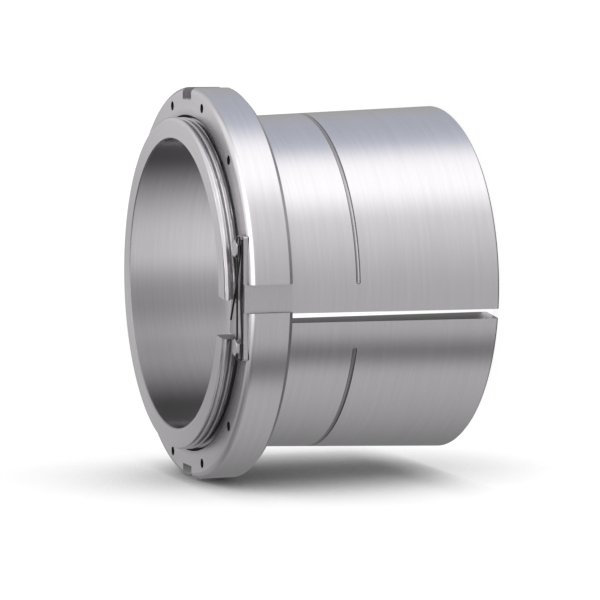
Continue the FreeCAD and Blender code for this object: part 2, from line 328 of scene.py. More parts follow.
def groove_cut(angle, z):
    """How deep the oil groove is here: round-bottomed, with a ball end on each side of the slit."""
    past_stop = max(0.0, GROOVE_STOP_ANGLE - min(angle, FULL_TURN - angle))
    along = math.radians(past_stop) * THREAD_RADIUS
    from_middle = math.hypot(z - GROOVE_HEIGHT, along) / (GROOVE_WIDTH / 2)
    return GROOVE_DEPTH * math.sqrt(max(0.0, 1.0 - from_middle * from_middle))


def seat_radius(z):
    """The tapered seat's radius, largest at z = 0."""
    return LARGE_END_RADIUS - z * SEAT_SLOPE


def sleeve_columns():
    """Angles from the slit's middle, all round, closer together where the groove stops."""
    digits = 4
    ball_steps = 12
    steps_past = 6
    closer = 1.5
    fine = math.degrees(GROOVE_WIDTH / THREAD_RADIUS) / ball_steps
    smallest = fine / 3
    angles = {round(FULL_TURN * index / COLUMNS, digits) for index in range(COLUMNS + 1)}
    for index in range(-ball_steps, steps_past + 1):
        angle = GROOVE_STOP_ANGLE + index * fine / closer
        angles.add(round(angle, digits))
        angles.add(round(FULL_TURN - angle, digits))
    ordered = sorted(angles)
    return [a for a, before in zip(ordered, [-1.0] + ordered) if a - before > smallest]


def sleeve_outside():
    """Rows up the outside, as (radius by angle, z, half the gap in the wall)."""
    rows = [
        (lambda a: LARGE_END_RADIUS - LARGE_END_CHAMFER, 0.0, SLIT_HALF_WIDTH),
        (lambda a: seat_radius(LARGE_END_CHAMFER), LARGE_END_CHAMFER, SLIT_HALF_WIDTH),
    ]
    half_groove = GROOVE_WIDTH / 2
    near_groove = half_groove + 0.4 * MM
    near_step = 0.5 * MM
    near_thread = 1.0 * MM

    def add_seat(z):
        rows.append((lambda a: seat_radius(z), z, SLIT_HALF_WIDTH))

    def add_groove(z):
        rows.append((lambda a: seat_radius(z) - groove_cut(a, z), z, SLIT_HALF_WIDTH))

    add_seat(2 * LARGE_END_CHAMFER)
    add_seat(GROOVE_HEIGHT / 2)
    add_seat(GROOVE_HEIGHT - near_groove)
    groove_steps = 16
    for index in range(groove_steps + 1):
        share = math.sin(math.radians(-90 + 180 * index / groove_steps))
        add_groove(GROOVE_HEIGHT + half_groove * share)
    add_seat(GROOVE_HEIGHT + near_groove)
    add_seat((GROOVE_HEIGHT + SEAT_TOP) / 2)
    add_seat(SEAT_TOP - near_step)
    add_seat(SEAT_TOP)
    rows.append((lambda a: THREAD_RADIUS, SEAT_TOP, SLIT_HALF_WIDTH))
    for gap, z in keyway_end():
        rows.append((lambda a: THREAD_RADIUS, z, gap))
    thread_low = NUT_FACE - THREAD_HIDDEN_IN_NUT
    rows.append((lambda a: THREAD_RADIUS, thread_low - near_thread, KEYWAY_HALF_WIDTH))
    steps = round((SLEEVE_LENGTH - thread_low) / THREAD_ROW)
    for index in range(steps + 1):
        z = thread_low + (SLEEVE_LENGTH - thread_low) * index / steps
        rows.append((lambda a, z=z: thread_radius(a, z), z, KEYWAY_HALF_WIDTH))
    return rows


def keyway_end():
    """The keyway's rounded end as (half the gap, z), from the slit out to the full width."""
    steps = 6
    points = [(SLIT_HALF_WIDTH, KEYWAY_END)]
    for index in range(steps + 1):
        turn = math.radians(90 * index / steps)
        gap = KEYWAY_HALF_WIDTH - KEYWAY_CORNER * (1 - math.sin(turn))
        points.append((gap, KEYWAY_END + KEYWAY_CORNER * (1 - math.cos(turn))))
    return points


def sleeve_inside():
    """Rows up the bore, in the same form as those of the outside."""
    low = [
        (BORE_RADIUS + LARGE_END_CHAMFER, 0.0, SLIT_HALF_WIDTH),
        (BORE_RADIUS, LARGE_END_CHAMFER, SLIT_HALF_WIDTH),
        (BORE_RADIUS, GROOVE_HEIGHT, SLIT_HALF_WIDTH),
    ]
    middle = [(BORE_RADIUS, z, gap) for gap, z in keyway_end()]
    high = [
        (BORE_RADIUS, SLEEVE_LENGTH - BORE_CHAMFER_FRONT, KEYWAY_HALF_WIDTH),
        (BORE_RADIUS + BORE_CHAMFER_FRONT, SLEEVE_LENGTH, KEYWAY_HALF_WIDTH),
    ]
    return [(lambda a, r=r: r, z, gap) for r, z, gap in low + middle + high]


def sleeve_wall_ends(outside, inside, rows, columns):
    """The walls of the slit and of the keyway, and the steps between them, at both ends of the rows."""
    def last_narrow(side):
        return next(i for i, row in enumerate(side) if row[2] > SLIT_HALF_WIDTH) - 1

    step_count = len(keyway_end())
    faces = []
    for end in (0, columns - 1):
        def vertex(side, index):
            row = index if side is outside else rows - 1 - index
            return row * columns + end

        low = [vertex(outside, i) for i in range(last_narrow(outside) + 1)]
        low += [vertex(inside, i) for i in reversed(range(last_narrow(inside) + 1))]
        faces.append(tuple(low))
        for step in range(step_count - 1):
            out_step = last_narrow(outside) + step
            in_step = last_narrow(inside) + step
            outer = (vertex(outside, out_step), vertex(outside, out_step + 1))
            faces.append(outer + (vertex(inside, in_step + 1), vertex(inside, in_step)))
        out_start = last_narrow(outside) + step_count - 1
        in_start = last_narrow(inside) + step_count - 1
        high = [vertex(outside, i) for i in range(out_start, len(outside))]
        high += [vertex(inside, i) for i in reversed(range(in_start, len(inside)))]
        faces.append(tuple(high))
    return faces


def mark_surfaces(piece):
    """Marks the bore, the groove and the cut faces: slit, keyway and the bore's front chamfer, whose dark
    cut steel is painted shade that dims its highlight.
    """
    in_groove = 0.03 * MM
    inward = -0.6
    slight = 0.3
    for polygon in piece.data.polygons:
        centre = polygon.center
        outward = Vector((centre.x, centre.y, 0)).normalized()
        facing = polygon.normal.dot(outward)
        upward = polygon.normal.z
        beside_groove = abs(centre.z - GROOVE_HEIGHT) < GROOVE_WIDTH
        if facing < inward:
            # Inward faces that tilt up are the bore's front chamfer, darkened as painted shade
            polygon.material_index = CUT if upward > slight else BORE
        elif beside_groove and facing > 0 and centre.xy.length < seat_radius(centre.z) - in_groove:
            polygon.material_index = GROOVE
        elif abs(facing) < slight and abs(upward) < slight:
            polygon.material_index = CUT


def mark(piece, kind):
    """Marks all faces of a piece as of this kind."""
    piece.data.polygons.foreach_set("material_index", [kind] * len(piece.data.polygons))
    return piece


def make_sleeve():
    """The split sleeve as one closed mesh, its slit walls flat and parallel."""
    outside = sleeve_outside()
    inside = sleeve_inside()
    rows = outside + inside[::-1]
    angles = sleeve_columns()
    slit_middle = SLIT_ANGLE - 90.0
    widening = 20.0
    points = []
    for radius_at, z, gap in rows:
        for angle in angles:
            radius = radius_at(angle)
            wall = math.degrees(math.asin(gap / radius))
            to_wall = min(angle, FULL_TURN - angle)
            shift = wall * max(0.0, 1 - to_wall / widening)
            side = 1 if angle < FULL_TURN / 2 else -1
            points.append(polar(radius, slit_middle + angle + side * shift, z))
    faces = ring_faces(len(rows), len(angles), False)
    faces += sleeve_wall_ends(outside, inside, len(rows), len(angles))
    piece = new_piece("sleeve", points, faces)
    mark_surfaces(piece)
    combine(piece, duct_cutter(), "DIFFERENCE")
    return finish_mesh(piece, "sleeve_body")


def duct_cutter():
    """The inlet in the large end, the long bore in the wall and the short feed to the groove."""
    turn = Matrix.Rotation(math.radians(SLIT_ANGLE + DUCT_ANGLE), 4, "Z")
    foot = turn @ Matrix.Translation((0, -DUCT_PATH_RADIUS, -OVERCUT))
    inlet = cylinder(INLET_RADIUS, INLET_DEPTH + OVERCUT, foot)
    bore = cylinder(DUCT_RADIUS, GROOVE_HEIGHT + DUCT_RADIUS + OVERCUT, foot)
    outward = Matrix.Rotation(math.radians(90), 4, "X")
    feed_length = LARGE_END_RADIUS - DUCT_PATH_RADIUS
    at_groove = turn @ Matrix.Translation((0, -DUCT_PATH_RADIUS, GROOVE_HEIGHT)) @ outward
    feed = cylinder(FEED_RADIUS, feed_length, at_groove)
    combine(inlet, bore, "UNION")
    return combine(inlet, feed, "UNION")


# Lock nut

def nut_outline():
    """The turned outline, with short flats beside the roundings so that flat faces stay flat."""
    beside = 0.3 * MM
    round_steps = 8
    rim = arc(NUT_RADIUS - NUT_FRONT_ROUND, NUT_FACE - NUT_FRONT_ROUND, NUT_FRONT_ROUND, 0, 90, round_steps)
    return [
        (NUT_BORE_RADIUS, NUT_BACK + NUT_BORE_BEVEL),
        (NUT_BORE_RADIUS + NUT_BORE_BEVEL, NUT_BACK),
        (NUT_RADIUS - NUT_BACK_BEVEL, NUT_BACK),
        (NUT_RADIUS, NUT_BACK + NUT_BACK_BEVEL),
        (NUT_RADIUS, NUT_FACE - NUT_FRONT_ROUND - beside),
        *rim,
        (NUT_RADIUS - NUT_FRONT_ROUND - beside, NUT_FACE),
        (NUT_BORE_RADIUS + NUT_BORE_BEVEL, NUT_FACE),
        (NUT_BORE_RADIUS, NUT_FACE - NUT_BORE_BEVEL),
    ]


def nut_slot_cutter(index):
    """One spanner slot across the rim, its floor chamfered at the front."""
    floor = NUT_RADIUS - NUT_SLOT_DEPTH
    half_width = NUT_SLOT_WIDTH / 2
    outline = [
        (floor, NUT_BACK - OVERCUT),
        (floor, NUT_FACE - NUT_SLOT_CHAMFER),
        (floor - NUT_SLOT_CHAMFER, NUT_FACE),
        (floor - NUT_SLOT_CHAMFER, NUT_FACE + OVERCUT),
        (NUT_RADIUS + OVERCUT, NUT_FACE + OVERCUT),
        (NUT_RADIUS + OVERCUT, NUT_BACK - OVERCUT),
    ]
    cutter = prism(outline, (-half_width, half_width))
    turn = Matrix.Rotation(math.radians(index * FULL_TURN / NUT_SLOT_COUNT), 4, "Z")
    cutter.data.transform(turn @ UPRIGHT)
    return mark(cutter, MILLED)


def nut_hole_cutter(index):
    """One blind hole in the face, half a step to the side of a slot."""
    turn = Matrix.Rotation(math.radians((index + 0.5) * HOLE_STEP), 4, "Z")
    place = turn @ Matrix.Translation((0, -HOLE_CIRCLE_RADIUS, NUT_FACE - HOLE_DEPTH))
    return mark(cylinder(HOLE_RADIUS, HOLE_DEPTH + OVERCUT, place), PAINTED_SHADE)


def mark_front_bevel(piece):
    """Marks the front bevel of the nut's bore with the holes' steel, a painted shade as dark as the gap
    that it lies in.
    """
    least_tilt = 0.3
    most_tilt = 0.9
    for polygon in piece.data.polygons:
        in_bore = polygon.center.xy.length < NUT_BORE_RADIUS + NUT_BORE_BEVEL
        if in_bore and least_tilt < polygon.normal.z < most_tilt:
            polygon.material_index = PAINTED_SHADE


def make_nut():
    """The slotted and drilled nut."""
    piece = turned_ring("nut", nut_outline())
    cutters = [nut_slot_cutter(index) for index in range(NUT_SLOT_COUNT)]
    cutters += [nut_hole_cutter(index) for index in range(HOLE_COUNT)]
    combine(piece, joined(cutters), "DIFFERENCE")
    mark_front_bevel(piece)
    return finish_mesh(piece, "nut_body")


# Locking clip

def plate_outline():
    """The plate's outline as (x, y) points, with round corners, on the -Y side."""
    steps = 5
    corner = PLATE_CORNER
    side = PLATE_HALF_LENGTH - corner
    inner = -PLATE_INNER - corner
    outer = -PLATE_OUTER + corner
    outline = []
    centres = [(side, inner, 0), (-side, inner, 90), (-side, outer, 180), (side, outer, 270)]
    for x, y, start in centres:
        for index in range(steps + 1):
            turn = math.radians(start + 90 * index / steps)
            outline.append((x + corner * math.cos(turn), y + corner * math.sin(turn)))
    return outline


def clip_tab():
    """The tab that bends over the nut's edge into its slot, one bend of even thickness."""
    thickness = PLATE_TOP - NUT_FACE
    bend_steps = 6
    outline = [(PLATE_INNER + PLATE_CORNER, NUT_FACE)]
    outline += arc(TAB_OUTSIDE - thickness - TAB_BEND, NUT_FACE - TAB_BEND, TAB_BEND, 90, 0, bend_steps)
    outline += [(TAB_OUTSIDE - thickness, TAB_FOOT), (TAB_OUTSIDE, TAB_FOOT)]
    outline += [(TAB_OUTSIDE, PLATE_TOP), (PLATE_INNER + PLATE_CORNER, PLATE_TOP)]
    tab = prism(outline, (-TAB_HALF_WIDTH, TAB_HALF_WIDTH))
    tab.data.transform(UPRIGHT)
    return tab


def clip_tongue():
    """The tongue that reaches into the sleeve's keyway."""
    root = (PLATE_INNER + PLATE_OUTER) / 2
    side = TONGUE_HALF_WIDTH
    corners = [(side, -root), (side, -TONGUE_TIP), (-side, -TONGUE_TIP), (-side, -root)]
    tongue = prism(corners, (NUT_FACE, PLATE_TOP))
    tongue.data.transform(Matrix.Rotation(math.radians(SLIT_ANGLE), 4, "Z"))
    return tongue


def make_clip():
    """The clip, cut and bent from one piece of plate, with softly broken edges."""
    piece = prism(plate_outline(), (NUT_FACE, PLATE_TOP))
    combine(piece, clip_tab(), "UNION")
    combine(piece, clip_tongue(), "UNION")
    for side in (-BOLT_SIDE, BOLT_SIDE):
        place = Matrix.Translation((side, -BOLT_OUT, NUT_FACE - OVERCUT))
        hole = cylinder(PLATE_HOLE_RADIUS, PLATE_TOP - NUT_FACE + 2 * OVERCUT, place)
        combine(piece, hole, "DIFFERENCE")
    least = math.radians(CLIP_EDGE_ANGLE)
    use_modifier(piece, "BEVEL", width=SHEET_EDGE, segments=2, limit_method="ANGLE", angle_limit=least)
    return finish_mesh(piece, "clip_plate")


# Bolts

def hex_radius(angle):
    """The distance from the middle to the head's edge, with a corner along +X."""
    side = FULL_TURN / 6
    from_flat = (angle % side) - side / 2
    return HEAD_FLATS / 2 / math.cos(math.radians(from_flat))


def make_bolt(side, name):
    """A hexagon bolt with a chamfered head, drilled across for the wire."""
    face_radius = HEAD_FACE_SHARE * HEAD_FLATS / 2
    slope = math.tan(math.radians(HEAD_CHAMFER_ANGLE))
    angles = [FULL_TURN * index / HEAD_COLUMNS for index in range(HEAD_COLUMNS)]
    sides = [hex_radius(angle) for angle in angles]
    rows = [
        [(BOLT_RADIUS, BOLT_END - PLATE_TOP) for _ in angles],
        [(BOLT_RADIUS, 0.0) for _ in angles],
        [(radius - HEAD_EDGE, 0.0) for radius in sides],
        [(radius, HEAD_EDGE) for radius in sides],
        [(radius, HEAD_HEIGHT - max(0.0, radius - face_radius) * slope) for radius in sides],
        [(face_radius, HEAD_HEIGHT) for _ in angles],
        [(face_radius - HEAD_EDGE, HEAD_HEIGHT) for _ in angles],
    ]
    points = [polar(radius, angle, z) for row in rows for angle, (radius, z) in zip(angles, row)]
    faces = ring_faces(len(rows), HEAD_COLUMNS, True)[:-HEAD_COLUMNS]
    faces.append(tuple(range(HEAD_COLUMNS))[::-1])
    faces.append(tuple(range(len(points) - HEAD_COLUMNS, len(points))))
    piece = new_piece(name, points, faces)
    across = Matrix.Rotation(math.radians(90), 4, "Y")
    place = Matrix.Translation((-HEAD_FLATS, 0, HEAD_HEIGHT / 2)) @ across
    combine(piece, cylinder(WIRE_HOLE_RADIUS, 2 * HEAD_FLATS, place), "DIFFERENCE")
    piece.data.transform(Matrix.Translation((side, -BOLT_OUT, PLATE_TOP)))
    return finish_mesh(piece, name)


# Lock wire

def wire_route():
    """The wire's route as (sideways, outward, above the plate), from its free end through both heads."""
    free_end = 0.45 * BOLT_SIDE
    upper_crossing = 0.2 * BOLT_SIDE
    lower_crossing = 0.05 * BOLT_SIDE
    near_bolt = 0.8 * BOLT_SIDE
    corner = HEAD_FLATS / 2 / math.cos(math.radians(30))
    beside_head = BOLT_OUT + HEAD_FLATS / 2 + WIRE_RADIUS + WIRE_GAP
    past_head = BOLT_SIDE + corner + WIRE_LOOP + WIRE_GAP
    halfway_out = (BOLT_OUT + beside_head) / 2
    on_plate = WIRE_RADIUS + WIRE_GAP / 2
    above_lower = on_plate + 2 * WIRE_RADIUS + WIRE_GAP
    lane = HEAD_HEIGHT / 2
    above_lane = lane + 2 * WIRE_RADIUS + WIRE_GAP
    return [
        (-free_end, THREAD_RADIUS, above_lane + WIRE_GAP),
        (upper_crossing, halfway_out - WIRE_RADIUS, above_lane),
        (near_bolt, beside_head, above_lower),
        (past_head, beside_head, above_lower),
        (past_head, BOLT_OUT, lane),
        (-past_head, BOLT_OUT, lane),
        (-past_head, beside_head, on_plate + WIRE_RADIUS),
        (-near_bolt, beside_head, on_plate),
        (lower_crossing, halfway_out + WIRE_GAP, on_plate),
        (near_bolt, beside_head, on_plate),
        (past_head - WIRE_LOOP, beside_head, on_plate),
    ]


def bent_points(route, radius):
    """The route with two points at each corner, so that a curve through them bends only there."""
    longest_share = 0.45
    points = [route[0]]
    for before, at, after in zip(route, route[1:], route[2:]):
        back = before - at
        ahead = after - at
        half = back.angle(ahead) / 2
        reach = min(radius / math.tan(half), longest_share * min(back.length, ahead.length))
        points.append(at + back.normalized() * reach)
        points.append(at)
        points.append(at + ahead.normalized() * reach)
    return points + [route[-1]]


def make_wire():
    """The soft black wire that ties the two bolt heads together."""
    route = [Vector((side, -out, PLATE_TOP + above)) for side, out, above in wire_route()]
    points = bent_points(route, WIRE_BEND)
    curve = bpy.data.curves.new("wire", "CURVE")
    curve.dimensions = "3D"
    line = curve.splines.new("NURBS")
    line.points.add(len(points) - 1)
    for target, point in zip(line.points, points):
        target.co = (*point, 1.0)
    line.order_u = 3
    line.use_endpoint_u = True
    line.resolution_u = 8
    curve.bevel_depth = WIRE_RADIUS
    curve.bevel_resolution = 5
    curve.use_fill_caps = True
    holder = bpy.data.objects.new("wire_curve", curve)
    bpy.context.scene.collection.objects.link(holder)
    graph = bpy.context.evaluated_depsgraph_get()
    mesh = bpy.data.meshes.new_from_object(holder.evaluated_get(graph))
    bpy.data.objects.remove(holder)
    piece = bpy.data.objects.new("tie_wire", mesh)
    bpy.context.scene.collection.objects.link(piece)
    mesh.shade_smooth()
    mesh.set_sharp_from_angle(angle=math.radians(WIRE_SHARP_ANGLE))
    return piece


# Materials

STEEL_TINT = (1.0, 0.97, 1.0)
BORE_TINT = (1.0, 0.96, 1.0)
CLIP_TINT = (1.0, 0.965, 1.0)
WHITE = (1.0, 1.0, 1.0, 1.0)

# Turned steel: its rings' size across and along and their detail, and how they change colour and gloss
FINE_RINGS = (0.5 * MM, 40.0 * MM, 2.0)
BROAD_RINGS = (3.0 * MM, 90.0 * MM, 3.0)
CLOUD_SIZE = 60.0 * MM
NOISE_MIDDLE = 0.5
FINE_SHARE = 0.45
RING_STREAK = 0.03
RING_CONTRAST = (0.3, 0.7)
RING_ROUGHNESS = 0.12
CLOUD_ROUGHNESS = 0.2
RING_BUMP = 0.06
ALONG_RINGS = 0.25
MARK_DEPTH = 0.02 * MM

# Painted shade: metal is darker where faces come near it: how near, and between which shares of openness
RECESS_REACH = 11.0 * MM
RECESS_SHADE = (0.15, 0.9)

# Rolled, milled or formed steel: its grain along X
GRAIN_SIZE = (12.0 * MM, 0.6 * MM, 0.6 * MM)
GRAIN_DARK = 0.93
GRAIN_LIGHT = 1.05
GRAIN_CONTRAST = (0.2, 0.8)
GRAIN_ROUGHNESS = 0.15
GRAIN_BUMP = 0.15

# Black wire: its mottled skin
MOTTLE_SIZE = 1.5 * MM
MOTTLE_CONTRAST = (0.3, 0.7)
WIRE_ROUGHNESS = (0.32, 0.5)
WIRE_DARK = 0.001
WIRE_LIGHT = 0.005
WIRE_SHINE = 0.35


class Nodes:
    """A node tree with short calls for the nodes that the materials use."""

    def __init__(self, tree):
        self.tree = tree
        tree.nodes.clear()

    def add(self, kind, *values, **settings):
        """A new node with these settings, and its first inputs fed in order."""
        node = self.tree.nodes.new(kind)
        for name, value in settings.items():
            setattr(node, name, value)
        for socket, value in zip(node.inputs, values):
            self.feed(socket, value)
        return node

    def feed(self, socket, value):
        """Links the input to an output, or sets it to a fixed value."""
        if isinstance(value, bpy.types.NodeSocket):
            self.tree.links.new(value, socket)
        else:
            socket.default_value = value

    def math(self, operation, *values):
        return self.add("ShaderNodeMath", *values, operation=operation).outputs[0]

    def times(self, first, second):
        return self.math("MULTIPLY", first, second)

    def plus(self, first, second):
        return self.math("ADD", first, second)

    def scaled(self, value, factor, offset):
        """The value times the factor, plus the offset."""
        return self.math("MULTIPLY_ADD", value, factor, offset)

    def vector_math(self, operation, *values):
        return self.add("ShaderNodeVectorMath", *values, operation=operation).outputs["Vector"]

    def split(self, vector):
        """A vector's x, y and z."""
        return self.add("ShaderNodeSeparateXYZ", vector).outputs

    def join(self, x, y, z):
        """A vector of x, y and z."""
        return self.add("ShaderNodeCombineXYZ", x, y, z).outputs[0]

    def object_place(self):
        return self.add("ShaderNodeTexCoord").outputs["Object"]

    def smooth(self, value, start, end, low=0.0, high=1.0):
        """Low up to the start, high from the end on, and a smooth change between."""
        given = (value, start, end, low, high)
        return self.add("ShaderNodeMapRange", *given, interpolation_type="SMOOTHSTEP").outputs[0]

    def noise(self, vector, scale, detail):
        node = self.add("ShaderNodeTexNoise", vector, noise_dimensions="3D")
        node.inputs["Scale"].default_value = scale
        node.inputs["Detail"].default_value = detail
        return node.outputs["Fac"]

    def mix_values(self, factor, first, second):
        node = self.add("ShaderNodeMix", factor, data_type="FLOAT")
        self.feed(node.inputs[2], first)
        self.feed(node.inputs[3], second)
        return node.outputs[0]

    def blend_colours(self, factor, first, second):
        node = self.add("ShaderNodeMix", data_type="RGBA")
        self.feed(node.inputs["Factor"], factor)
        self.feed(node.inputs["A"], first)
        self.feed(node.inputs["B"], second)
        return next(output for output in node.outputs if output.type == "RGBA")

    def bump(self, height, strength):
        """The surface's normal, tilted by fine marks of this height."""
        node = self.add("ShaderNodeBump")
        node.inputs["Strength"].default_value = strength
        node.inputs["Distance"].default_value = MARK_DEPTH
        self.feed(node.inputs["Height"], height)
        return node.outputs[0]

    def emission(self, colour, strength, kind="ShaderNodeEmission"):
        node = self.add(kind)
        self.feed(node.inputs["Color"], colour)
        self.feed(node.inputs["Strength"], strength)
        return node.outputs[0]

    def finish(self, shader, kind="ShaderNodeOutputMaterial"):
        """Makes the shader the result of the tree."""
        self.feed(self.add(kind).inputs["Surface"], shader)


def new_material(name):
    """A material and its empty node tree."""
    material = bpy.data.materials.new(name)
    material.use_nodes = True
    return material, Nodes(material.node_tree)


def grey(level, tint=(1.0, 1.0, 1.0)):
    """A colour of this level, with a slight tint."""
    return (level * tint[0], level * tint[1], level * tint[2], 1.0)


def openness(nodes, reach, facing=None):
    """1 where nothing is near, down to 0 where faces come close. Facing stands in for the normal."""
    nearby = nodes.add("ShaderNodeAmbientOcclusion", samples=8)
    nearby.inputs["Distance"].default_value = reach
    if facing is not None:
        nodes.feed(nearby.inputs["Normal"], facing)
    return nearby.outputs["AO"]


def turned_steel(name, level, roughness, anisotropy, tint=STEEL_TINT, painted_recess_shade=1.0):
    """Steel with the fine rings that a lathe leaves: they run round the axis on every surface."""
    material, nodes = new_material(name)
    place = nodes.object_place()
    x, y, z = nodes.split(place)
    radius = nodes.math("SQRT", nodes.plus(nodes.times(x, x), nodes.times(y, y)))
    lay = nodes.plus(z, radius)

    def rings(across, along, detail):
        """Noise in rings of this size."""
        x_share = nodes.math("DIVIDE", x, along)
        y_share = nodes.math("DIVIDE", y, along)
        return nodes.noise(nodes.join(x_share, y_share, nodes.math("DIVIDE", lay, across)), 1.0, detail)

    fine = rings(*FINE_RINGS)
    broad = rings(*BROAD_RINGS)
    cloud = nodes.noise(place, 1 / CLOUD_SIZE, detail=2.0)
    mixed = nodes.plus(nodes.times(fine, FINE_SHARE), nodes.times(broad, 1 - FINE_SHARE))
    dark = grey(level * (1 - RING_STREAK), tint)
    light = grey(level * (1 + RING_STREAK), tint)
    colour = nodes.blend_colours(nodes.smooth(mixed, *RING_CONTRAST), dark, light)
    # Painted shade: where faces come near, the colour darkens towards this share of its level
    if painted_recess_shade < 1.0:
        open_share = nodes.smooth(openness(nodes, RECESS_REACH), *RECESS_SHADE)
        colour = nodes.blend_colours(open_share, grey(level * painted_recess_shade, tint), colour)
    rough = roughness
    for noise, share in ((broad, RING_ROUGHNESS), (cloud, CLOUD_ROUGHNESS)):
        rough = nodes.scaled(nodes.math("SUBTRACT", noise, NOISE_MIDDLE), share * roughness, rough)
    round_axis = nodes.vector_math("NORMALIZE", nodes.vector_math("CROSS_PRODUCT", (0.0, 0.0, 1.0), place))
    shader = nodes.add("ShaderNodeBsdfPrincipled")
    shader.inputs["Metallic"].default_value = 1.0
    shader.inputs["Anisotropic"].default_value = anisotropy
    shader.inputs["Anisotropic Rotation"].default_value = ALONG_RINGS
    nodes.feed(shader.inputs["Base Color"], colour)
    nodes.feed(shader.inputs["Roughness"], rough)
    nodes.feed(shader.inputs["Tangent"], round_axis)
    nodes.feed(shader.inputs["Normal"], nodes.bump(fine, RING_BUMP))
    nodes.finish(shader.outputs[0])
    return material


def plate_steel(name, level, roughness, tint=STEEL_TINT):
    """Plain rolled, milled or formed steel, with a faint grain along X."""
    material, nodes = new_material(name)
    grain_size = nodes.add("ShaderNodeMapping", nodes.object_place())
    grain_size.inputs["Scale"].default_value = [1 / size for size in GRAIN_SIZE]
    grain = nodes.noise(grain_size.outputs[0], 1.0, detail=3.0)
    colour = nodes.blend_colours(grain, grey(level * GRAIN_DARK, tint), grey(level * GRAIN_LIGHT, tint))
    smoothest = roughness * (1 - GRAIN_ROUGHNESS)
    roughest = roughness * (1 + GRAIN_ROUGHNESS)
    shader = nodes.add("ShaderNodeBsdfPrincipled")
    shader.inputs["Metallic"].default_value = 1.0
    nodes.feed(shader.inputs["Base Color"], colour)
    nodes.feed(shader.inputs["Roughness"], nodes.smooth(grain, *GRAIN_CONTRAST, smoothest, roughest))
    nodes.feed(shader.inputs["Normal"], nodes.bump(grain, GRAIN_BUMP))
    nodes.finish(shader.outputs[0])
    return material


def sleeve_steel():
    """The sleeve's turned outside."""
    return turned_steel("sleeve_steel", level=0.60, roughness=0.26, anisotropy=0.75, painted_recess_shade=0.65)


def bored_steel():
    """The sleeve's bore."""
    return turned_steel("bored_steel", level=0.65, roughness=0.18, anisotropy=0.7, tint=BORE_TINT)


def cut_steel():
    """The walls of the slit and the keyway, and the bore's front chamfer, where the dark level is painted
    shade that dims the chamfer's highlight.
    """
    return plate_steel("cut_steel", level=0.25, roughness=0.45)


def grooved_steel():
    """The oil groove, darker than the seat as painted shade."""
    return turned_steel("grooved_steel", level=0.36, roughness=0.32, anisotropy=0.6, painted_recess_shade=0.65)


def nut_steel():
    """The nut's turned faces."""
    return turned_steel("nut_steel", level=0.60, roughness=0.26, anisotropy=0.75, painted_recess_shade=0.15)


def milled_steel():
    """The nut's spanner slots."""
    return plate_steel("milled_steel", level=0.42, roughness=0.4)


def painted_shade_steel():
    """The nut's holes and the bevel in the gap round the thread, painted dark as shade."""
    return plate_steel("painted_shade_steel", level=0.05, roughness=0.6)


def clip_steel():
    """The locking clip."""
    return plate_steel("clip_steel", level=0.54, roughness=0.3, tint=CLIP_TINT)


def bolt_steel():
    """The clip's bolts."""
    return plate_steel("bolt_steel", level=0.5, roughness=0.22)


def black_wire():
    """Black annealed wire: a dull oxide skin with faint draw marks."""
    material, nodes = new_material("wire_black")
    mottle = nodes.noise(nodes.object_place(), 1 / MOTTLE_SIZE, detail=3.0)
    shader = nodes.add("ShaderNodeBsdfPrincipled")
    shader.inputs["Specular IOR Level"].default_value = WIRE_SHINE
    colour = nodes.blend_colours(mottle, grey(WIRE_DARK), grey(WIRE_LIGHT))
    nodes.feed(shader.inputs["Base Color"], colour)
    nodes.feed(shader.inputs["Roughness"], nodes.smooth(mottle, *MOTTLE_CONTRAST, *WIRE_ROUGHNESS))
    nodes.finish(shader.outputs[0])
    return material


# Studio. The surround's angles run from -Y, which is 0, to +X, which is 90.
# Each band of it is (its middle, half its even part, its soft edge, its strength).
SURROUND_BASE = 0.225
BACK_WALL = (-9.0, 47.0, 110.0, 0.435)
SKY = (132.0, 0.0, 77.0, 0.39)
STRIP_LAMP = (77.0, 9.0, 25.0, 0.72)
LAMP_GLOW = (63.0, 7.0, 62.0, 0.40)
DARK_GAP = (-46.0, 0.0, 17.0, -0.42)
SURROUND_BANDS = (BACK_WALL, SKY, STRIP_LAMP, LAMP_GLOW, DARK_GAP)

# The surround beyond the object, by the x, y and z of the direction that it is seen in
FAR_WALL_LEVEL = 0.42
FAR_WALL_RISE = 0.42
FAR_WALL_EDGE = (-0.18, 0.0)
FAR_WALL_START = (0.35, 0.8)
FLOOR_LINE = (0.02, 0.22)
ABOVE_FLOOR_LOSS = -0.3

# The light overhead, which starts lower down in front and on the lamp's side
OVERHEAD_LEVEL = 0.3
OVERHEAD_RISE = 2.2
OVERHEAD_EDGE = (-0.75, 0.25)
OVERHEAD_BEHIND = (-0.25, 0.15)
OVERHEAD_BEHIND_SHARE = 0.5
OVERHEAD_START = (0.54, 0.80)
LOWER_BESIDE = 0.3
LOWER_IN_FRONT = -0.25

# The dim ground below, a bluish patch of sky, and what paths from matt faces lose
GROUND_EDGE = (-0.9, -0.45)
GROUND_SHARE = 0.4
SKY_PATCH = (125.0, 12.0, 25.0)
SKY_PATCH_EDGE = (0.15, -0.05)
SKY_TINT = (0.94, 1.0, 1.13, 1.0)
MATT_LOSS = -0.9
OPEN_LIGHT = 0.6

# The lit tube in the bore. Its bands are like the surround's, with angles from +X.
TENT_RADIUS = 92.0 * MM
TENT_GAP = 1.5 * MM
BORE_BASE = 0.08
BORE_BANDS = (
    (80.0, 2.0, 42.0, 0.70),
    (100.0, 2.0, 16.0, -0.22),
    (120.0, 3.0, 28.0, 0.36),
    (-90.0, 40.0, 70.0, 0.35),
)
BORE_FADE = (190.0 * MM, 120.0 * MM)
BORE_FADE_LEVELS = (0.92, 1.08)
BORE_LOW = (120.0 * MM, 90.0 * MM)
BORE_BACK = (0.0, 40.0 * MM)
BORE_LOW_LEVEL = 1.7

